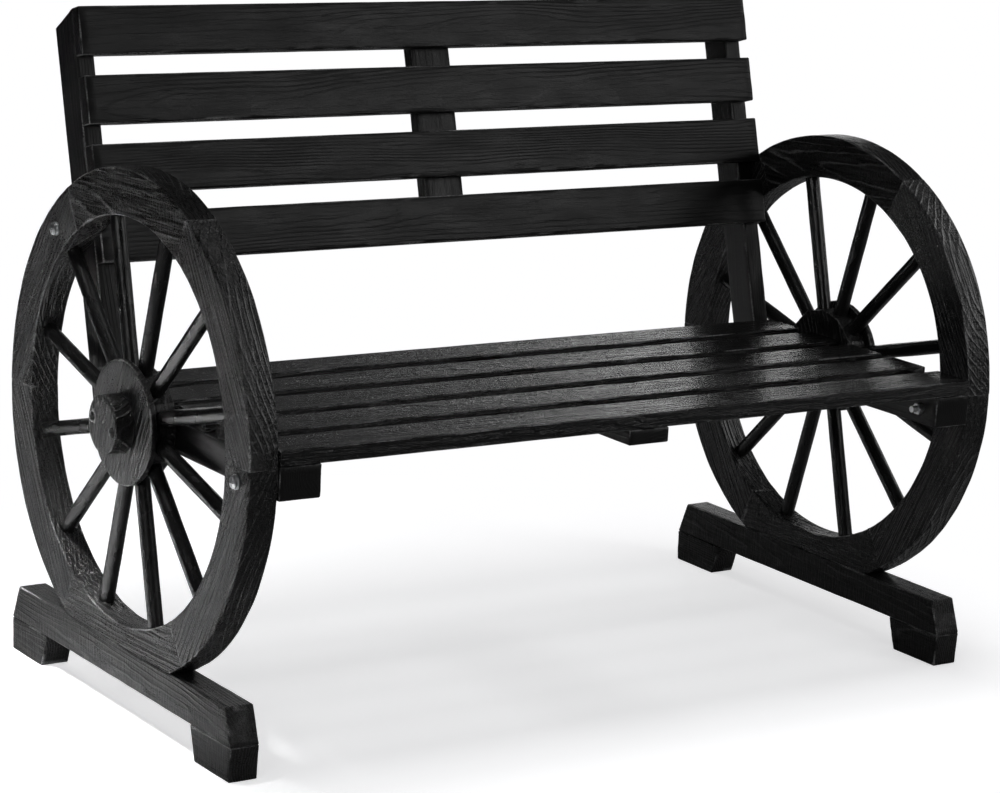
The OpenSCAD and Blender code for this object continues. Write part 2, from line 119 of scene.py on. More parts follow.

# The floor, in metres from the middle of the bench. Its shadow fades out over the first range. What
# reflections see of it is painted with shade: it goes dark outwards over the second, and forwards over the
# third.
FLOOR_HALF = 12.0
SHADOW_FADE = (0.58, 0.90)
FAR_SHADE_FADE = (1.9, 3.0)
FRONT_SHADE_FADE = (-0.6, -0.1)
FLOOR_TONE = 0.75
FLOOR_GLOW = 0.61
POOL_TONE = 0.4
FRONT_SHADE_TONE = 0.15
FAR_SHADE_TONE = 0.04

X = Vector((1, 0, 0))
Y = Vector((0, 1, 0))
Z = Vector((0, 0, 1))
UPRIGHT = Matrix.Identity(4)
LEANING = Matrix.Rotation(-BACK_LEAN, 4, "X")


# Nodes of a material

class Shader:
    """A material or world under construction, with short calls for the nodes that it needs."""

    def __init__(self, name, kind="materials"):
        self.made = getattr(bpy.data, kind).new(name)
        self.made.use_nodes = True
        self.tree = self.made.node_tree
        self.tree.nodes.clear()

    def node(self, kind, inputs=None, **settings):
        made = self.tree.nodes.new(kind)
        for key, value in settings.items():
            setattr(made, key, value)
        for key, value in (inputs or {}).items():
            self.feed(made.inputs[key], value)
        return made

    def feed(self, socket, value):
        if isinstance(value, bpy.types.NodeSocket):
            self.tree.links.new(value, socket)
        else:
            socket.default_value = value

    def math(self, operation, a, b=0.0):
        made = self.node("ShaderNodeMath", operation=operation)
        self.feed(made.inputs[0], a)
        self.feed(made.inputs[1], b)
        return made.outputs[0]

    def vector(self, operation, a, b):
        made = self.node("ShaderNodeVectorMath", operation=operation)
        self.feed(made.inputs[0], a)
        self.feed(made.inputs["Scale" if operation == "SCALE" else 1], b)
        return made.outputs[0]

    def attribute(self, name):
        return self.node("ShaderNodeAttribute", attribute_name=name).outputs

    def noise(self, place, per_metre, detail=2.0, roughness=0.5, output="Fac"):
        """Noise with so many swells a metre along each axis of place."""
        place = self.vector("MULTIPLY", place, per_metre)
        values = {"Vector": place, "Scale": 1.0, "Detail": detail, "Roughness": roughness}
        return self.node("ShaderNodeTexNoise", values).outputs[output]

    def sway(self, place, per_metre, reach):
        """A wandering offset, of up to half of reach either way."""
        swing = self.noise(place, per_metre, output="Color")
        return self.vector("MULTIPLY", self.vector("SUBTRACT", swing, (0.5, 0.5, 0.5)), reach)

    def total(self, value, parts):
        """The value with each part added by its weight."""
        for part, weight in parts:
            value = self.math("ADD", value, self.math("MULTIPLY", part, weight))
        return value

    def remap(self, value, low, high, to_low=0.0, to_high=1.0):
        values = {"Value": value, "From Min": low, "From Max": high, "To Min": to_low, "To Max": to_high}
        return self.node("ShaderNodeMapRange", values, clamp=True).outputs["Result"]

    def mix(self, factor, a, b):
        made = self.node("ShaderNodeMix", data_type="RGBA")
        self.feed(made.inputs[0], factor)
        self.feed(made.inputs[6], a)
        self.feed(made.inputs[7], b)
        return made.outputs[2]

    def bump(self, height, distance, strength=1.0):
        values = {"Strength": strength, "Distance": distance, "Height": height}
        return self.node("ShaderNodeBump", values).outputs["Normal"]

    def principled(self, colour, roughness, normal, **others):
        values = {"Base Color": colour, "Roughness": roughness, "Normal": normal}
        values.update({key.replace("_", " "): value for key, value in others.items()})
        return self.surface(self.node("ShaderNodeBsdfPrincipled", values).outputs["BSDF"])

    def surface(self, shader):
        self.node("ShaderNodeOutputMaterial", {"Surface": shader})
        return self.made


def grey(value):
    """A grey with a trace of blue."""
    return (value, value, value * 1.01, 1.0)


def timber(name, tone, roughness, relief, ring=0.0034, sawn=0.5, contrast=1.0, ripple=0.2,
           ridged=0.0, crest_wear_and_glint=0.0, fine=1.0, gloss=0.5):
    """Stained softwood. The grain attribute gives the place in the log, with x along the grain.

    Relief is the depth of the bumps and ring the width of a year's growth, both in metres. Sawn, ripple,
    ridged and fine weigh the saw marks, short flecks, long ridges and finest fibres. Contrast spreads the
    tones, crest_wear_and_glint is how far the crests are lightened, as wear and as a painted highlight, and
    gloss is the specular level.
    """
    s = Shader(name)
    place = s.attribute("grain")["Vector"]
    shade = s.attribute("shade")["Fac"]
    edge = s.attribute("edge")["Fac"]

    wander = s.sway(place, (2.6, 13.0, 13.0), (0.0, 0.026, 0.026))
    shiver = s.sway(place, (28.0, 160.0, 160.0), (0.0, 0.0018, 0.0018))
    log = s.vector("ADD", s.vector("ADD", place, wander), shiver)
    rings = s.node("ShaderNodeTexWave", {"Vector": log, "Scale": 2 * math.pi / (20 * ring)},
                   wave_type="RINGS", rings_direction="X", wave_profile="SIN").outputs["Fac"]
    patchy = s.noise(place, (9.0, 30.0, 30.0), detail=1.0)
    late = s.math("MULTIPLY", s.math("POWER", rings, 6.0), s.remap(patchy, 0.35, 0.6, 0.35, 1.0))
    crest = s.math("MULTIPLY", s.math("POWER", rings, 16.0), s.remap(patchy, 0.42, 0.58))

    streak = s.noise(place, (3.5, 85.0, 85.0))
    fibre = s.noise(place, (30.0, 1100.0, 1100.0), detail=3.0)
    tear = s.remap(s.noise(place, (12.0, 420.0, 420.0)), 0.56, 0.74)
    ridge = s.remap(s.noise(place, (9.0, 230.0, 230.0), detail=1.0), 0.35, 0.65)
    saw = s.noise(place, (420.0, 45.0, 45.0))
    blotch = s.noise(place, (14.0, 38.0, 38.0), detail=3.0)
    fleck = s.noise(place, (75.0, 240.0, 240.0), detail=3.0, roughness=0.6)
    speck = s.noise(place, (600.0, 900.0, 900.0), detail=1.0)

    height = s.total(s.math("MULTIPLY", late, 0.8), (
        (fibre, 0.3 * fine), (streak, 0.5), (blotch, 0.4), (saw, 0.7 * sawn), (fleck, ripple),
        (speck, 0.2 * fine), (tear, -0.4), (ridge, 0.6 * ridged),
    ))

    # The late wood shows as thin dark lines on a mottled ground. Its crests and the eased edges are
    # lightened, as wear and as a painted highlight
    mottle = (
        (fibre, 0.5), (streak, 0.5), (blotch, 0.4), (saw, 0.4 * sawn), (speck, 0.5), (tear, -0.3),
        (ridge, 0.4 * ridged),
    )
    figure = s.total(s.math("MULTIPLY", late, -0.5), mottle)
    middle = 0.5 * sum(weight for _, weight in mottle if weight > 0) - 0.10
    figure = s.remap(figure, middle - 0.5 / contrast, middle + 0.5 / contrast)
    colour = s.mix(figure, grey(tone * 0.2), grey(tone * 1.8))
    colour = s.vector("SCALE", colour, shade)
    # worn: the eased edges and late-wood crests lightened towards grey, as wear and as a painted highlight
    # along them
    worn = s.math("MULTIPLY", s.remap(edge, 0.05, 0.13), s.remap(blotch, 0.48, 0.66, 0.04, 1.0))
    worn = s.math("MAXIMUM", worn, s.math("MULTIPLY", crest, crest_wear_and_glint))
    worn = s.math("MULTIPLY", worn, s.remap(speck, 0.38, 0.55, 0.2, 1.0))
    colour = s.mix(worn, colour, grey(WEAR_AND_GLINT_TONE))

    dull = s.math("ADD", s.math("MULTIPLY", blotch, 0.20), s.math("MULTIPLY", speck, 0.30))
    dull = s.remap(dull, 0.15, 0.35, roughness - 0.12, roughness + 0.12)
    return s.principled(colour, dull, s.bump(height, relief), Specular_IOR_Level=gloss)


def spoke_paint(name, tone):
    """Thick black paint on turned wood, with brush runs along the spoke."""
    s = Shader(name)
    place = s.attribute("grain")["Vector"]
    runs = s.noise(place, (60.0, 420.0, 420.0), detail=3.0)
    pits = s.noise(place, (520.0, 900.0, 900.0))
    patch = s.noise(place, (22.0, 60.0, 60.0))
    height = s.math("ADD", s.math("MULTIPLY", runs, 0.7), s.math("MULTIPLY", pits, 0.3))
    colour = s.mix(s.remap(runs, 0.3, 0.75), grey(tone * 0.6), grey(tone * 1.8))
    return s.principled(colour, s.remap(patch, 0.3, 0.7, 0.20, 0.32), s.bump(height, 0.0006))


def zinc_plate(name):
    """Bright zinc plating with a fine mottle."""
    s = Shader(name)
    place = s.node("ShaderNodeTexCoord").outputs["Object"]
    grainy = s.noise(place, (900.0, 900.0, 900.0), detail=3.0)
    patch = s.noise(place, (220.0, 220.0, 220.0))
    colour = s.mix(s.remap(patch, 0.35, 0.65), (0.70, 0.71, 0.73, 1.0), (0.93, 0.94, 0.95, 1.0))
    dull = s.remap(grainy, 0.3, 0.7, 0.34, 0.54)
    return s.principled(colour, dull, s.bump(grainy, 0.0002, 0.6), Metallic=1.0)


def screw_black(name):
    """Black phosphated steel, worn bright on the high spots."""
    s = Shader(name)
    place = s.node("ShaderNodeTexCoord").outputs["Object"]
    grainy = s.noise(place, (1200.0, 1200.0, 1200.0))
    colour = s.mix(s.remap(grainy, 0.45, 0.7), grey(0.03), grey(0.12))
    dull = s.remap(grainy, 0.3, 0.7, 0.35, 0.55)
    return s.principled(colour, dull, s.bump(grainy, 0.0002, 0.5), Metallic=0.8)


def bare_beech(name):
    """Unpainted beech of the hidden dowels, with short flecks."""
    s = Shader(name)
    place = s.node("ShaderNodeTexCoord").outputs["Object"]
    fleck = s.noise(place, (700.0, 260.0, 260.0), detail=3.0)
    colour = s.mix(s.remap(fleck, 0.35, 0.7), (0.50, 0.36, 0.21, 1.0), (0.30, 0.19, 0.10, 1.0))
    return s.principled(colour, 0.7, s.bump(fleck, 0.0003, 0.6))


ROUGH = {"tone": 0.012, "roughness": 0.30, "relief": 0.0024, "ring": 0.0050, "contrast": 1.5, "ridged": 1.0,
         "crest_wear_and_glint": 0.4}
TIMBERS = {
    "rough_timber": ROUGH,
    # Less and more glossy copies for three felloes, as painted shade and sheen
    "matt_shade_timber": {**ROUGH, "gloss": 0.15},
    "dull_shade_timber": {**ROUGH, "gloss": 0.35},
    "shiny_sheen_timber": {**ROUGH, "gloss": 0.80},
    "rail_timber": {"tone": 0.012, "roughness": 0.34, "relief": 0.0014, "sawn": 1.0, "contrast": 1.2,
                    "ridged": 0.6, "crest_wear_and_glint": 0.2, "gloss": 0.35},
    "hub_timber": {"tone": 0.008, "roughness": 0.33, "relief": 0.0011, "ring": 0.0065, "contrast": 1.2,
                   "ridged": 0.5, "crest_wear_and_glint": 0.1},
    "seat_timber": {"tone": 0.006, "roughness": 0.17, "relief": 0.0026, "sawn": 0.1, "ripple": 1.5,
                    "ridged": 0.6, "fine": 0.2},
    "back_timber": {"tone": 0.008, "roughness": 0.44, "relief": 0.0003, "sawn": 0.2, "contrast": 0.5,
                    "gloss": 0.4},
}
MATERIALS = {name: timber(name, **look) for name, look in TIMBERS.items()}
MATERIALS["spoke_timber"] = spoke_paint("spoke_timber", 0.010)
MATERIALS["zinc_plate"] = zinc_plate("zinc_plate")
MATERIALS["black_screw"] = screw_black("black_screw")
MATERIALS["dowel_wood"] = bare_beech("dowel_wood")


# Measuring the frame

def points(node, place=UPRIGHT):
    """A node's points, in the axes of place."""
    turn = np.array(place.inverted().to_3x3())
    return np.array([v.co for v in frame["nodes"][node].data.vertices], float) @ turn.T


def islands(node):
    """The points of each separate solid of a node."""
    bm = bmesh.new()
    bm.from_mesh(frame["nodes"][node].data)
    bmesh.ops.remove_doubles(bm, verts=bm.verts, dist=1e-6)
    seen, groups = set(), []
    for start in bm.verts:
        if start in seen:
            continue
        seen.add(start)
        stack, group = [start], []
        while stack:
            vert = stack.pop()
            group.append(vert.co[:])
            for edge in vert.link_edges:
                other = edge.other_vert(vert)
                if other not in seen:
                    seen.add(other)
                    stack.append(other)
        groups.append(np.array(group))
    bm.free()
    return groups


def hull_outline(node, place):
    """The outline of a node seen along X, as the corners of its convex hull."""
    flat = sorted(set((round(y, 5), round(z, 5)) for _, y, z in points(node, place)))

    def half(ordered):
        chain = []
        for p in ordered:
            while len(chain) > 1 and bend(chain[-2], chain[-1], p) <= 1e-9:
                chain.pop()
            chain.append(p)
        return chain[:-1]

    return half(flat) + half(flat[::-1])


def bend(a, b, c):
    """More than nothing where the way from a over b to c turns left."""
    return (b[0] - a[0]) * (c[1] - a[1]) - (b[1] - a[1]) * (c[0] - a[0])


WHEEL_AXIS = (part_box("left_hub_cap")[0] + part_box("left_hub_cap")[1]) / 2
HUB_AT = (0, WHEEL_AXIS.y, WHEEL_AXIS.z)
RAIL_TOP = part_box("left_rail")[1].z


# Shaping timber

def prism(outline, x0, x1):
    """A bar along X with the outline given in Y and Z."""
    bm = bmesh.new()
    near = [bm.verts.new((x0, y, z)) for y, z in outline]
    far = [bm.verts.new((x1, y, z)) for y, z in outline]
    bm.faces.new(near)
    bm.faces.new(far[::-1])
    for i in range(len(outline)):
        j = (i + 1) % len(outline)
        bm.faces.new((near[j], near[i], far[i], far[j]))
    bmesh.ops.recalc_face_normals(bm, faces=bm.faces)
    return bm


def ease_edges(bm, width):
    """Rounds every edge that turns by more than a quarter of a right angle."""
    sharp = [e for e in bm.edges if len(e.link_faces) == 2 and e.calc_face_angle(0) > math.pi / 8]
    bmesh.ops.bevel(bm, geom=sharp, offset=width, offset_type="OFFSET", segments=3, profile=0.5,
                    affect="EDGES", clamp_overlap=True)


def slice_up(bm, steps):
    """Cuts the faces into small ones, with a cut every step along each axis."""
    low = [min(v.co[k] for v in bm.verts) for k in range(3)]
    high = [max(v.co[k] for v in bm.verts) for k in range(3)]
    for k, step in enumerate(steps):
        count = max(1, round((high[k] - low[k]) / step))
        normal = Vector([1.0 if j == k else 0.0 for j in range(3)])
        for i in range(1, count):
            at = normal * (low[k] + (high[k] - low[k]) * i / count)
            geometry = bm.verts[:] + bm.edges[:] + bm.faces[:]
            bmesh.ops.bisect_plane(bm, geom=geometry, dist=1e-6, plane_co=at, plane_no=normal)


def wear(bm, along, seed):
    """Moves the surface in and out a little, and rubs the edges down unevenly."""
    bm.normal_update()
    rng = random.Random(seed)
    shift = Vector([rng.uniform(-50, 50) for _ in range(3)])
    moves = []
    for vert in bm.verts:
        run = vert.co.dot(along)
        place = (vert.co - along * run) * 55 + along * run * 16 + shift
        swell = noise.noise(place) + 0.5 * noise.noise(place * 2.7)
        skew = 1.0 - max(abs(c) for c in vert.normal)
        rub = max(0.0, noise.noise(place * 1.9 + shift) + 0.25) if skew > 0.12 else 0.0
        moves.append(vert.normal * (swell * FLAT_WOBBLE - rub * EDGE_WEAR))
    for vert, move in zip(bm.verts, moves):
        vert.co += move


def to_object(name, bm, place=UPRIGHT):
    """An object from a mesh that was made in the axes of place."""
    mesh = bpy.data.meshes.new(name)
    bm.transform(place)
    bm.normal_update()
    bm.to_mesh(mesh)
    bm.free()
    made = bpy.data.objects.new(name, mesh)
    bpy.context.scene.collection.objects.link(made)
    return made


def recess_cutters(screws, outward, near, wide):
    """Short rods over the screw heads that lie inside the box near, at least as wide as given."""
    bm = bmesh.new()
    outward = outward.normalized()
    facing = outward.to_track_quat("Z", "Y").to_matrix().to_4x4()
    low, high = near
    for island in islands(screws):
        reach = island @ np.array(outward)
        across = island - np.outer(reach, outward)
        centre = Vector((across.min(0) + across.max(0)) / 2)
        head = centre + outward * reach.max()
        if any(not low[k] - RECESS_NEAR < head[k] < high[k] + RECESS_NEAR for k in range(3)):
            continue
        radius = max(wide / 2, np.linalg.norm(across - np.array(centre), axis=1).max() + RECESS_GAP)
        at = Matrix.Translation(head + outward * (RECESS_REACH / 2 - SCREW_PROUD)) @ facing
        bmesh.ops.create_cone(bm, cap_ends=True, segments=32, radius1=radius, radius2=radius,
                              depth=RECESS_REACH, matrix=at)
    return bm


def cut_recesses(piece, screws, outward, wide=0.0):
    """Cuts room for the screw heads that lie in the piece."""
    co = np.array([v.co for v in piece.data.vertices])
    bm = recess_cutters(screws, outward, (co.min(0), co.max(0)), wide)
    if not bm.verts:
        bm.free()
        return
    tool = to_object("recess_tool", bm)
    cut = piece.modifiers.new("recess", "BOOLEAN")
    cut.operation = "DIFFERENCE"
    cut.solver = "EXACT"
    cut.object = tool
    bpy.context.view_layer.update()
    solved = piece.evaluated_get(bpy.context.evaluated_depsgraph_get())
    mesh = bpy.data.meshes.new_from_object(solved)
    piece.modifiers.clear()
    old = piece.data
    piece.data = mesh
    name = old.name
    bpy.data.meshes.remove(old)
    mesh.name = name
    bpy.data.objects.remove(tool)


def set_grain(piece, along, across, pith, seed, hub=None):
    """Writes each point's place in the log, how light its stain is and how near it lies to an edge.

    The place is measured along the grain, and across it from the pith. A curved piece names its hub.
    """
    rng = random.Random(seed * 7 + 1)
    along = along.normalized()
    across = (across - along * across.dot(along)).normalized()
    deep = along.cross(across)
    co = np.array([v.co for v in piece.data.vertices])
    middle = (co.min(0) + co.max(0)) / 2
    axes = np.array([along, across, deep])
    # A small lean of the board in the log opens the rings into long curved figures
    lean = np.array([rng.uniform(-0.02, 0.02), rng.uniform(-0.035, 0.035)])
    place = (co - middle) @ axes.T
    place[:, 1:] += place[:, :1] * lean
    place += np.array([rng.uniform(-5, 5), pith[0], pith[1]])
    layer = piece.data.attributes.new("grain", "FLOAT_VECTOR", "POINT")
    layer.data.foreach_set("vector", place.astype(np.float32).ravel())
    facing = np.empty(len(co) * 3, np.float32)
    piece.data.vertices.foreach_get("normal", facing)
    facing = facing.reshape(-1, 3)
    if hub is not None:
        radial = (co - np.array(hub)) * (0, 1, 1)
        radial /= np.linalg.norm(radial, axis=1)[:, None]
        sides = np.stack([facing[:, 0], (facing * radial).sum(1)], axis=1)
    else:
        sides = facing @ axes.T
    edge = 1.0 - np.abs(sides).max(1)
    stain = np.full(len(co), rng.uniform(*STAIN_RANGE))
    for label, values in (("shade", stain), ("edge", edge)):
        made = piece.data.attributes.new(label, "FLOAT", "POINT")
        made.data.foreach_set("value", values.astype(np.float32))


def finish_piece(piece, node, slot, look=None):
    """Gives a made piece its material and puts it in place of its node."""
    piece.data.materials.clear()
    piece.data.materials.append(MATERIALS[look or slot])
    for face in piece.data.polygons:
        face.use_smooth = True
    piece.data.set_sharp_from_angle(angle=SMOOTH_ANGLE)
    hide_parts(node)
    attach(piece, "root")


def seed_of(node):
    """A number of the node's own, the same in every run."""
    return sum((i + 3) * ord(c) for i, c in enumerate(node))


def pith_for(node, near, far, side=0.02):
    """A pith under the board's face, between near and far away."""
    rng = random.Random(seed_of(node))
    return rng.uniform(-side, side), rng.choice((-1, 1)) * rng.uniform(near, far)


def bar(node, slot, place, along, across, steps, pith, screws=(), wide=0.0, look=None, hub=None):
    """A timber with the same outline all along X. Its screws are given as pairs of a node and the way out."""
    co = points(node, place)
    bm = prism(hull_outline(node, place), co[:, 0].min(), co[:, 0].max())
    ease_edges(bm, BOARD_EDGE)
    slice_up(bm, steps)
    wear(bm, along, seed_of(node))
    piece = to_object("wood_" + node, bm, place)
    for name, outward in screws:
        cut_recesses(piece, name, outward, wide)
    turn = place.to_3x3()
    set_grain(piece, turn @ along, turn @ across, pith, seed_of(node), hub)
    finish_piece(piece, node, slot, look)
    return piece


# Seat and back

def seat():
    """The seat slats, the batten under their middle and the two bearers."""
    for i in range(1, SEAT_SLATS + 1):
        node = f"seat_slat_{i}"
        bar(node, "seat_timber", UPRIGHT, X, Y, SLAT_STEPS, pith_for(node, 0.012, 0.05))
    bar("seat_batten", "back_timber", UPRIGHT, Y, X, BATTEN_STEPS, pith_for("seat_batten", 0.02, 0.05),
        [("seat_slat_screws", -Z)])
    for side in SIDES:
        bearer(side)


def bearer(side):
    """A side bearer, whose rear end is housed for the post."""
    node = side + "_seat_bearer"
    post = side + "_back_post"
    low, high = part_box(node)
    out = 1 if side == "right" else -1
    inner_x, outer_x = (low.x, high.x) if out > 0 else (high.x, low.x)
    post_inner_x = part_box(post)[0].x if out > 0 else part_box(post)[1].x
    step_x = post_inner_x - out * HOUSING_SIDE_GAP
    local = points(post, LEANING)
    front = Vector((0, local[:, 1].min(), 0))
    foot = LEANING @ front

    def housing_y(z):
        return foot.y + (z - foot.z) * math.tan(BACK_LEAN) - HOUSING_FRONT_GAP

    layers = []
    for z in (low.z, high.z):
        y = housing_y(z)
        layers.append([(inner_x, low.y, z), (outer_x, low.y, z), (outer_x, y, z), (step_x, y, z),
                       (step_x, high.y, z), (inner_x, high.y, z)])
    bm = bmesh.new()
    bottom, top = ([bm.verts.new(p) for p in layer] for layer in layers)
    bm.faces.new(bottom)
    bm.faces.new(top[::-1])
    for i in range(len(bottom)):
        j = (i + 1) % len(bottom)
        bm.faces.new((bottom[j], bottom[i], top[i], top[j]))
    bmesh.ops.recalc_face_normals(bm, faces=bm.faces)
    ease_edges(bm, BOARD_EDGE)
    slice_up(bm, BEARER_STEPS)
    wear(bm, Y, seed_of(node))
    piece = to_object("wood_" + node, bm)
    cut_recesses(piece, "seat_slat_screws", -Z)
    cut_recesses(piece, side + "_post_screws", X * -out)
    set_grain(piece, Y, Z, pith_for(node, 0.03, 0.08), seed_of(node))
    finish_piece(piece, node, "back_timber")


def back():
    """The back slats, the stile behind their middle and the two posts."""
    behind = LEANING @ Y
    for i in range(1, BACK_SLATS + 1):
        node = f"back_slat_{i}"
        bar(node, "back_timber", LEANING, X, Z, SLAT_STEPS, pith_for(node, 0.015, 0.06))
    bar("back_stile", "back_timber", LEANING, Z, X, STILE_STEPS, pith_for("back_stile", 0.02, 0.06),
        [("back_slat_screws", behind)])
    for side in SIDES:
        node = side + "_back_post"
        bar(node, "back_timber", LEANING, Z, Y, POST_STEPS, pith_for(node, 0.03, 0.07),
            [("back_slat_screws", behind)])


# Rails, feet and wheels

def rails():
    """The skid rails and their block feet, with room for the screws under them."""
    for side in SIDES:
        node = side + "_rail"
        bar(node, "rough_timber", UPRIGHT, Y, Z, RAIL_STEPS, pith_for(node, 0.03, 0.07),
            [(side + "_rail_screws", -Z)], look="rail_timber")
        for end in ("front", "rear"):
            foot = f"{side}_{end}_foot"
            bar(foot, "rough_timber", UPRIGHT, Y, Z, FOOT_STEPS, pith_for(foot, 0.03, 0.06),
                [(side + "_foot_screws", -Z)], look="rail_timber")


def rounded_loop(width, height, radius, across, up):
    """Points round a rectangle with rounded corners, anticlockwise from its lower right corner.

    Across and up say how many steps its level and upright sides are cut into.
    """
    loop = []
    a, b = width / 2 - radius, height / 2 - radius
    corners = [(a, -b, -90), (a, b, 0), (-a, b, 90), (-a, -b, 180)]
    for k, (cx, cy, start) in enumerate(corners):
        for i in range(4):
            turn = math.radians(start + 30 * i)
            loop.append((cx + radius * math.cos(turn), cy + radius * math.sin(turn)))
        nx, ny, next_start = corners[(k + 1) % 4]
        turn = math.radians(next_start)
        here = loop[-1]
        there = (nx + radius * math.cos(turn), ny + radius * math.sin(turn))
        count = up if k % 2 == 0 else across
        for i in range(1, count):
            t = i / count
            loop.append((here[0] + (there[0] - here[0]) * t, here[1] + (there[1] - here[1]) * t))
    return loop


def felloe(side, name):
    """One curved piece of the rim, swept round the wheel's axis between its two joints."""
    node = f"{side}_felloe_{name}"
    low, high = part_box(node)
    off = points(node) - np.array(HUB_AT)
    inner_r = np.hypot(off[:, 1], off[:, 2]).min()
    top_off = points(f"{side}_felloe_top") - np.array(HUB_AT)
    outer_r = np.hypot(top_off[:, 1], top_off[:, 2]).max()
    middle = math.atan2(off[:, 1].mean(), off[:, 2].mean())
    turns = (np.arctan2(off[:, 1], off[:, 2]) - middle + math.pi) % (2 * math.pi) - math.pi
    first, last = turns.min() + middle, turns.max() + middle
    thickness = high.x - low.x
    centre_x = (low.x + high.x) / 2
    count = max(8, round((last - first) * outer_r / RIM_STEP))
    stations = [(first, JOINT_EDGE)]
    for i in range(count + 1):
        t = i / count
        edge = JOINT_EDGE / outer_r
        stations.append((first + edge + (last - first - 2 * edge) * t, 0.0))
    stations.append((last, JOINT_EDGE))
    bm = bmesh.new()
    rings = []
    for turn, inset in stations:
        reach = outer_r
        if math.cos(turn) < 0:
            reach = min(reach, (WHEEL_AXIS.z - RAIL_TOP) / -math.cos(turn))
        depth = reach - inner_r
        loop = rounded_loop(depth - 2 * inset, thickness - 2 * inset, RIM_EDGE - inset,
                            RIM_CUTS_DEEP, RIM_CUTS_WIDE)
        ring = []
        for u, v in loop:
            r = inner_r + depth / 2 + u
            ring.append(bm.verts.new((centre_x + v, WHEEL_AXIS.y + r * math.sin(turn),
                                      WHEEL_AXIS.z + r * math.cos(turn))))
        rings.append(ring)
    for a, b in zip(rings, rings[1:]):
        for i in range(len(a)):
            j = (i + 1) % len(a)
            bm.faces.new((a[i], a[j], b[j], b[i]))
    bm.faces.new(rings[0])
    bm.faces.new(rings[-1][::-1])
    bmesh.ops.recalc_face_normals(bm, faces=bm.faces)
    radial = Vector((0, math.sin(middle), math.cos(middle)))
    chord = X.cross(radial)
    wear(bm, chord, seed_of(node))
    piece = to_object("wood_" + node, bm)
    rng = random.Random(seed_of(node))
    pith = (rng.uniform(0.07, 0.10), rng.choice((-1, 1)) * rng.uniform(0.05, 0.08))
    if name == "top":
        pith = (rng.uniform(-0.01, 0.01), rng.uniform(0.035, 0.05))
    set_grain(piece, chord, radial, pith, seed_of(node), HUB_AT)
    # The top, upper rear and upper front felloes take less and more glossy copies of the timber, as painted
    # shade and sheen
    finish_piece(piece, node, "rough_timber", FELLOE_SHADE_AND_SHEEN_LOOKS.get(name))


def spokes(side):
    """Twelve turned spokes in one piece, each a rod with slightly uneven paint."""
    node = side + "_spokes"
    bm = bmesh.new()
    grain = []
    rng = random.Random(seed_of(node))
    for island in islands(node):
        centre = Vector((island.min(0) + island.max(0)) / 2)
        out = Vector((0, centre.y - WHEEL_AXIS.y, centre.z - WHEEL_AXIS.z)).normalized()
        reach = (island - np.array(centre)) @ np.array(out)
        start, end = reach.min(), reach.max()
        across = island - np.array(centre) - np.outer(reach, out)
        radius = np.linalg.norm(across, axis=1).max()
        side_way = out.cross(X)
        shift = rng.uniform(-9, 9)
        rings = []
        for i in range(SPOKE_RINGS + 1):
            t = start + (end - start) * i / SPOKE_RINGS
            ring = []
            for k in range(SPOKE_SIDES):
                turn = 2 * math.pi * k / SPOKE_SIDES
                way = X * math.cos(turn) + side_way * math.sin(turn)
                swell = noise.noise(Vector((t * 30 + shift, math.cos(turn) * 1.3, math.sin(turn) * 1.3)))
                ring.append(bm.verts.new(centre + out * t + way * (radius + swell * PAINT_SWELL)))
                grain.append((t + shift, radius * math.cos(turn), radius * math.sin(turn)))
            rings.append(ring)
        for a, b in zip(rings, rings[1:]):
            for k in range(SPOKE_SIDES):
                j = (k + 1) % SPOKE_SIDES
                bm.faces.new((a[k], a[j], b[j], b[k]))
        bm.faces.new(rings[0][::-1])
        bm.faces.new(rings[-1])
    bmesh.ops.recalc_face_normals(bm, faces=bm.faces)
    piece = to_object("wood_" + node, bm)
    layer = piece.data.attributes.new("grain", "FLOAT_VECTOR", "POINT")
    layer.data.foreach_set("vector", np.array(grain, np.float32).ravel())
    finish_piece(piece, node, "spoke_timber")


def hub(side):
    """The spoke block, the disc over it and the cap with its two screw recesses."""
    out = X if side == "right" else -X
    grain_slant = {"hub_core": 70, "hub_disc": 115, "hub_cap": 100}
    for part, degrees in grain_slant.items():
        node = f"{side}_{part}"
        turn = math.radians(degrees)
        along = Vector((0, math.cos(turn), math.sin(turn)))
        across = X.cross(along)
        screws = [(side + "_hub_screws", out)] if part == "hub_cap" else []
        rng = random.Random(seed_of(node))
        pith = (rng.uniform(0.06, 0.10), rng.uniform(0.02, 0.05))
        bar(node, "hub_timber", UPRIGHT, along, across, HUB_STEPS, pith, screws, CAP_RECESS_D, hub=HUB_AT)


def wheels():
    """Both wheels: rim, spokes and hub."""
    for side in SIDES:
        for name in FELLOES:
            felloe(side, name)
        spokes(side)
        hub(side)


def metalwork():
    """The bolts, washers, nuts, screws and dowels keep their own shapes and get their finish."""
    shared = {"wheel_bolts": "zinc_plate", "bolt_washers": "zinc_plate", "bolt_nuts": "zinc_plate",
              "hub_screws": "black_screw", "rail_screws": "black_screw", "foot_screws": "black_screw",
              "post_screws": "black_screw", "felloe_dowels": "dowel_wood"}
    named = {f"{side}_{part}": slot for side in SIDES for part, slot in shared.items()}
    named.update({"seat_slat_screws": "black_screw", "back_slat_screws": "black_screw"})
    for node, slot in named.items():
        data = frame["nodes"][node].data
        data.materials.clear()
        data.materials.append(MATERIALS[slot])


# Studio

def area(name, at, aim, size, watts, spread=180, only=None):
    """A round lamp that the camera doesn't see. It lights everything, or only the object given."""
    lamp = bpy.data.lights.new(name, "AREA")
    lamp.shape = "DISK"
    lamp.energy = watts
    lamp.size = size
    lamp.spread = math.radians(spread)
    made = bpy.data.objects.new(name, lamp)
    bpy.context.scene.collection.objects.link(made)
    made.location = at
    made.rotation_euler = (Vector(aim) - Vector(at)).to_track_quat("-Z", "Y").to_euler()
    made.visible_camera = False
    if only is not None:
        lit = bpy.data.collections.new(name + "_lights")
        lit.objects.link(only)
        made.light_linking.receiver_collection = lit


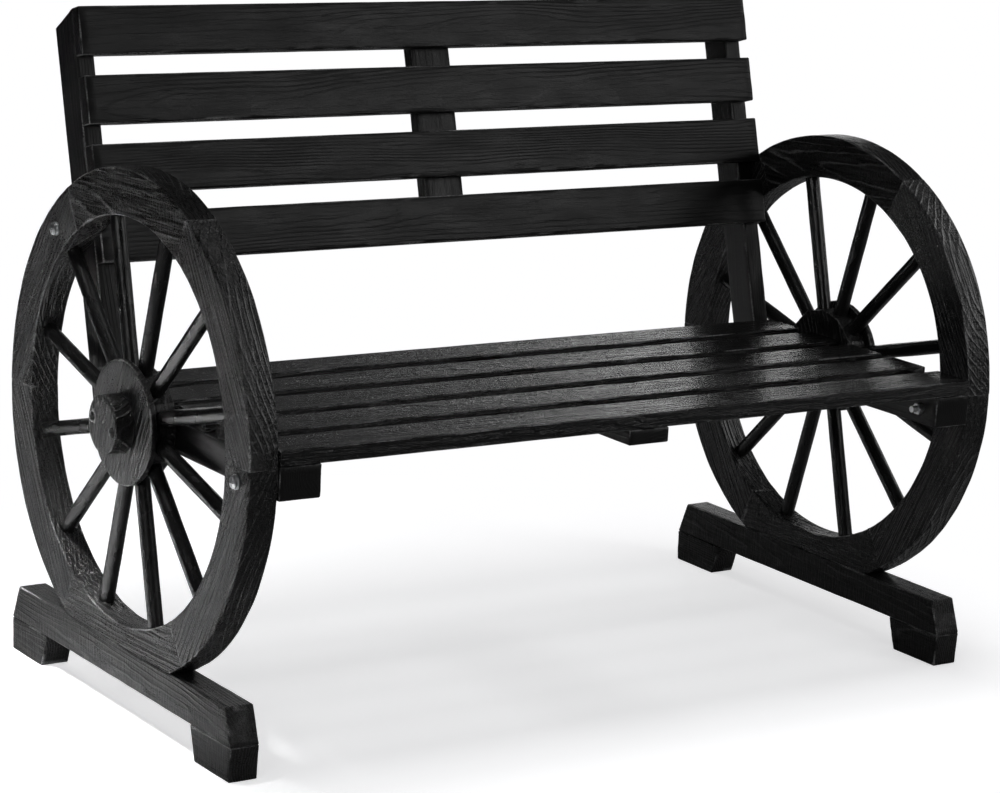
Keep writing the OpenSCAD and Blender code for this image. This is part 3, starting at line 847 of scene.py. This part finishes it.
def floor():
    """A white floor that keeps the shadow under the bench and fades to plain white further out.

    Only the camera sees it white. What lights the bench from it, and shows in its gloss, is a grey floor
    painted with shade, darker in front of the bench and far away.
    """
    s = Shader("pale_floor")
    rays = s.node("ShaderNodeLightPath")
    place = s.node("ShaderNodeTexCoord").outputs["Object"]
    away = s.node("ShaderNodeVectorMath", {0: place}, operation="LENGTH").outputs["Value"]
    diffuse = s.node("ShaderNodeBsdfDiffuse", {"Color": grey(FLOOR_TONE)}).outputs[0]
    glow = s.node("ShaderNodeEmission", {"Color": grey(1.0), "Strength": FLOOR_GLOW}).outputs[0]
    shaded = s.node("ShaderNodeAddShader", {0: diffuse, 1: glow}).outputs[0]
    plain = s.node("ShaderNodeEmission", {"Color": grey(1.0), "Strength": 1.0}).outputs[0]
    far = s.remap(away, *SHADOW_FADE)
    seen = s.node("ShaderNodeMixShader", {0: far, 1: shaded, 2: plain}).outputs[0]
    # What reflections see: the floor's grey darkened in front and far out, as a painted shade
    depth = s.node("ShaderNodeSeparateXYZ", {0: place}).outputs["Y"]
    painted_shade_floor = s.mix(s.remap(depth, *FRONT_SHADE_FADE), grey(FRONT_SHADE_TONE), grey(POOL_TONE))
    painted_shade_floor = s.mix(s.remap(away, *FAR_SHADE_FADE), painted_shade_floor, grey(FAR_SHADE_TONE))
    painted_shade_floor = s.node("ShaderNodeBsdfDiffuse", {"Color": painted_shade_floor}).outputs[0]
    final = s.node("ShaderNodeMixShader", {0: rays.outputs["Is Camera Ray"], 1: painted_shade_floor, 2: seen}).outputs[0]
    mesh = bpy.data.meshes.new("floor")
    half = FLOOR_HALF
    corners = [(-half, -half, 0), (half, -half, 0), (half, half, 0), (-half, half, 0)]
    mesh.from_pydata(corners, [], [(0, 1, 2, 3)])
    mesh.materials.append(s.surface(final))
    made = bpy.data.objects.new("floor", mesh)
    bpy.context.scene.collection.objects.link(made)
    return made


def world():
    """White where the camera sees it. Reflections show a studio that is darker on the left."""
    s = Shader("studio", "worlds")
    bpy.context.scene.world = s.made
    rays = s.node("ShaderNodeLightPath").outputs
    way = s.node("ShaderNodeTexCoord").outputs["Generated"]
    rightward = s.node("ShaderNodeSeparateXYZ", {0: way}).outputs["X"]
    shine = s.remap(rightward, -0.4, 0.4, SHINE_LEFT, SHINE_RIGHT)
    level = s.math("MULTIPLY", rays["Is Glossy Ray"], s.math("SUBTRACT", shine, WORLD_FILL))
    level = s.math("ADD", level, WORLD_FILL)
    level = s.math("MAXIMUM", level, rays["Is Camera Ray"])
    back = s.node("ShaderNodeBackground", {"Color": grey(1.0), "Strength": level}).outputs[0]
    s.node("ShaderNodeOutputWorld", {"Surface": back})


def lights(ground):
    """Soft lamps on all sides, and pools of light on the floor that the glossy paint reflects.

    Each lamp has its place, the point that it faces, its size in metres and its watts.
    """
    area("overhead", (0.0, 0.0, 3.0), (0.0, 0.0, 0.3), 1.4, 8)
    area("overhead_on_floor", (0.0, 0.0, 3.0), (0.0, 0.0, 0.3), 1.4, 36, only=ground)
    area("left_pool", (-1.5, 1.1, 1.6), (-1.3, 0.85, 0.0), 0.4, 13, spread=30)
    area("left_front_pool", (-1.1, 0.25, 1.5), (-0.9, 0.1, 0.0), 0.4, 7, spread=34)
    area("rear_pool", (-0.3, 1.7, 1.8), (-0.3, 1.3, 0.0), 0.6, 4.0, spread=40)
    area("left_panel", (-3.0, -2.1, 1.6), (-0.4, -0.1, 0.4), 0.8, 12)
    area("front_panel", (2.2, -3.1, 1.9), (0.1, 0.2, 0.6), 1.6, 17)
    area("right_rear_panel", (3.6, 4.2, 1.3), (0.4, 0.0, 0.4), 1.2, 10)
    area("right_rear_veil", (3.3, 4.5, 1.3), (0.2, 0.0, 0.4), 1.9, 1.8)
    area("rear_panel", (0.4, 4.8, 1.8), (0.0, 0.0, 0.4), 2.0, 16)
    area("right_panel", (4.5, 0.0, 1.5), (0.0, 0.0, 0.4), 2.0, 18)


def camera():
    """The photo's camera."""
    az, el, roll = CAMERA_AZIMUTH, CAMERA_ELEVATION, CAMERA_ROLL
    back_way = Vector((math.sin(az) * math.cos(el), -math.cos(az) * math.cos(el), math.sin(el)))
    level = Vector((math.cos(az), math.sin(az), 0))
    rise = back_way.cross(level)
    right = level * math.cos(roll) + rise * math.sin(roll)
    up = rise * math.cos(roll) - level * math.sin(roll)
    data = bpy.data.cameras.new("camera")
    data.sensor_fit = "HORIZONTAL"
    data.sensor_width = SENSOR_MM
    data.lens = FOCAL_PIXELS / IMAGE_WIDTH * SENSOR_MM
    data.clip_end = 60
    made = bpy.data.objects.new("camera", data)
    bpy.context.scene.collection.objects.link(made)
    turn = Matrix((right, up, back_way)).transposed().to_4x4()
    made.matrix_world = Matrix.Translation(CAMERA_AT) @ turn
    bpy.context.scene.camera = made


camera()
seat()
back()
rails()
wheels()
metalwork()
ground = floor()
world()
lights(ground)
bpy.context.scene.view_settings.view_transform = "Standard"
